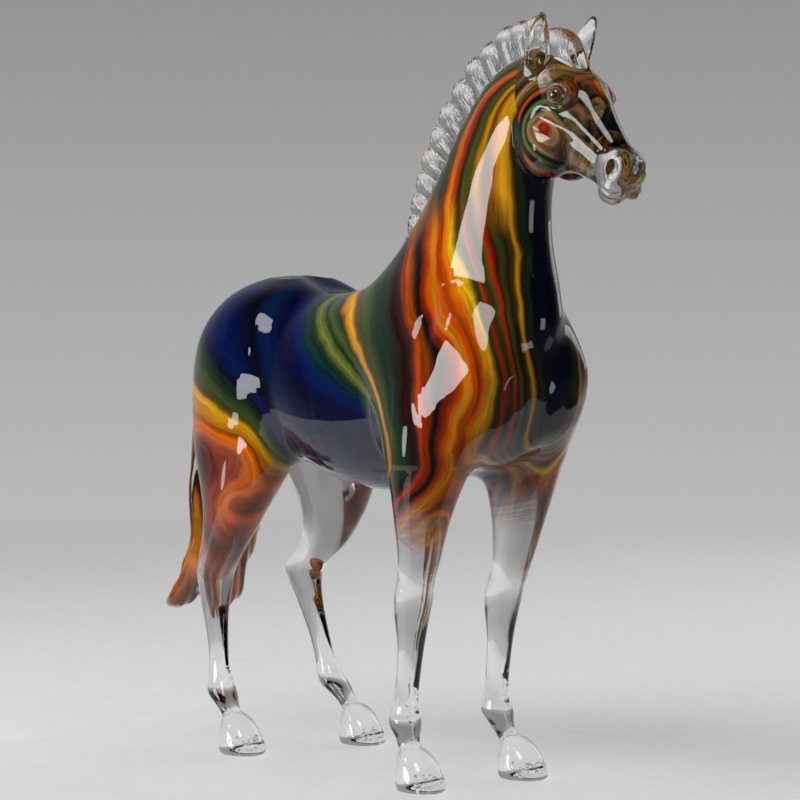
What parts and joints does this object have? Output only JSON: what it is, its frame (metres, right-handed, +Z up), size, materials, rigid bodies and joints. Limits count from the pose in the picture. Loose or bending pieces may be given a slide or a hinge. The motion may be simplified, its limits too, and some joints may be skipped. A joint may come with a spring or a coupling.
{
  "type": "glass horse figurine",
  "caption": "Standing horse figurine of clear cased glass over a swirled colour core, with an upright mane, a hanging tail and flat hoof soles to stand on.",
  "frame": {"origin": "on the ground plane, under the middle of the figurine's bounding box", "axes": "+X toward the horse's head, +Y toward its left side, +Z up"},
  "size_m": [0.3206, 0.079, 0.3131],
  "materials": {
    "clear_glass": "clear polished glass, hot worked",
    "trunk_colour": "swirled cobalt, teal and amber glass, polished",
    "neck_colour": "swirled amber, gold and green glass, polished",
    "head_colour": "thin green and orange streaks in glass, polished",
    "fore_colour": "brown and orange glass thinning to clear, polished",
    "hind_colour": "orange and olive glass thinning to clear, polished",
    "tail_colour": "amber streaked glass, polished",
    "eye_glass": "smoky brown polished glass",
    "hoof_glass": "clear glass with fine bubbles, polished"
  },
  "bodies": {
    "root": {"trunk_casing": "clear_glass", "trunk_core": "trunk_colour", "neck_casing": "clear_glass", "neck_core": "neck_colour", "head_casing": "clear_glass", "head_core": "head_colour", "right_ear": "clear_glass", "left_ear": "clear_glass", "right_eye": "eye_glass", "left_eye": "eye_glass", "forelock": "clear_glass", "mane_lock_01": "clear_glass", "mane_lock_02": "clear_glass", "mane_lock_03": "clear_glass", "mane_lock_04": "clear_glass", "mane_lock_05": "clear_glass", "mane_lock_06": "clear_glass", "mane_lock_07": "clear_glass", "mane_lock_08": "clear_glass", "mane_lock_09": "clear_glass", "mane_lock_10": "clear_glass", "mane_lock_11": "clear_glass", "mane_lock_12": "clear_glass", "mane_lock_13": "clear_glass", "right_front_leg": "clear_glass", "left_front_leg": "clear_glass", "right_hind_leg": "clear_glass", "left_hind_leg": "clear_glass", "right_front_core": "fore_colour", "left_front_core": "fore_colour", "right_hind_core": "hind_colour", "left_hind_core": "hind_colour", "right_front_hoof": "hoof_glass", "left_front_hoof": "hoof_glass", "right_hind_hoof": "hoof_glass", "left_hind_hoof": "hoof_glass", "tail_casing": "clear_glass", "tail_core": "tail_colour"}
  },
  "joints": []
}
